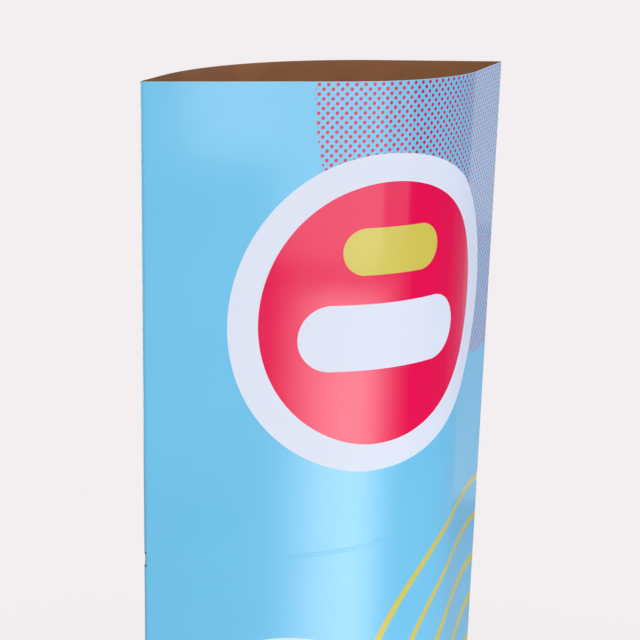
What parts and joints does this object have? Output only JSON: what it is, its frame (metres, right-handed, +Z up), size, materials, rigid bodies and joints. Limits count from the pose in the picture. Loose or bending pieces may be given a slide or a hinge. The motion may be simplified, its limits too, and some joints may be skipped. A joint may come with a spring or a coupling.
{
  "type": "cardboard display totem",
  "caption": "Tall pop-up sleeve of printed board with a lens-shaped plan, open at both ends, held bowed by folded inner spreaders and elastic bands.",
  "frame": {"origin": "midway between the two side folds, on the floor", "axes": "+Z up the totem, X from the left side fold to the right one as the front is seen, the front panel bows towards -Y"},
  "size_m": [0.454, 0.1863, 1.53],
  "materials": {
    "printed_board": "satin",
    "brown_board": "matte",
    "elastic": "matte"
  },
  "bodies": {
    "root": {"sleeve": "printed_board", "spreader_1": "brown_board", "spreader_2": "brown_board", "spreader_3": "brown_board", "band_1": "elastic", "band_2": "elastic", "band_3": "elastic"}
  },
  "joints": []
}
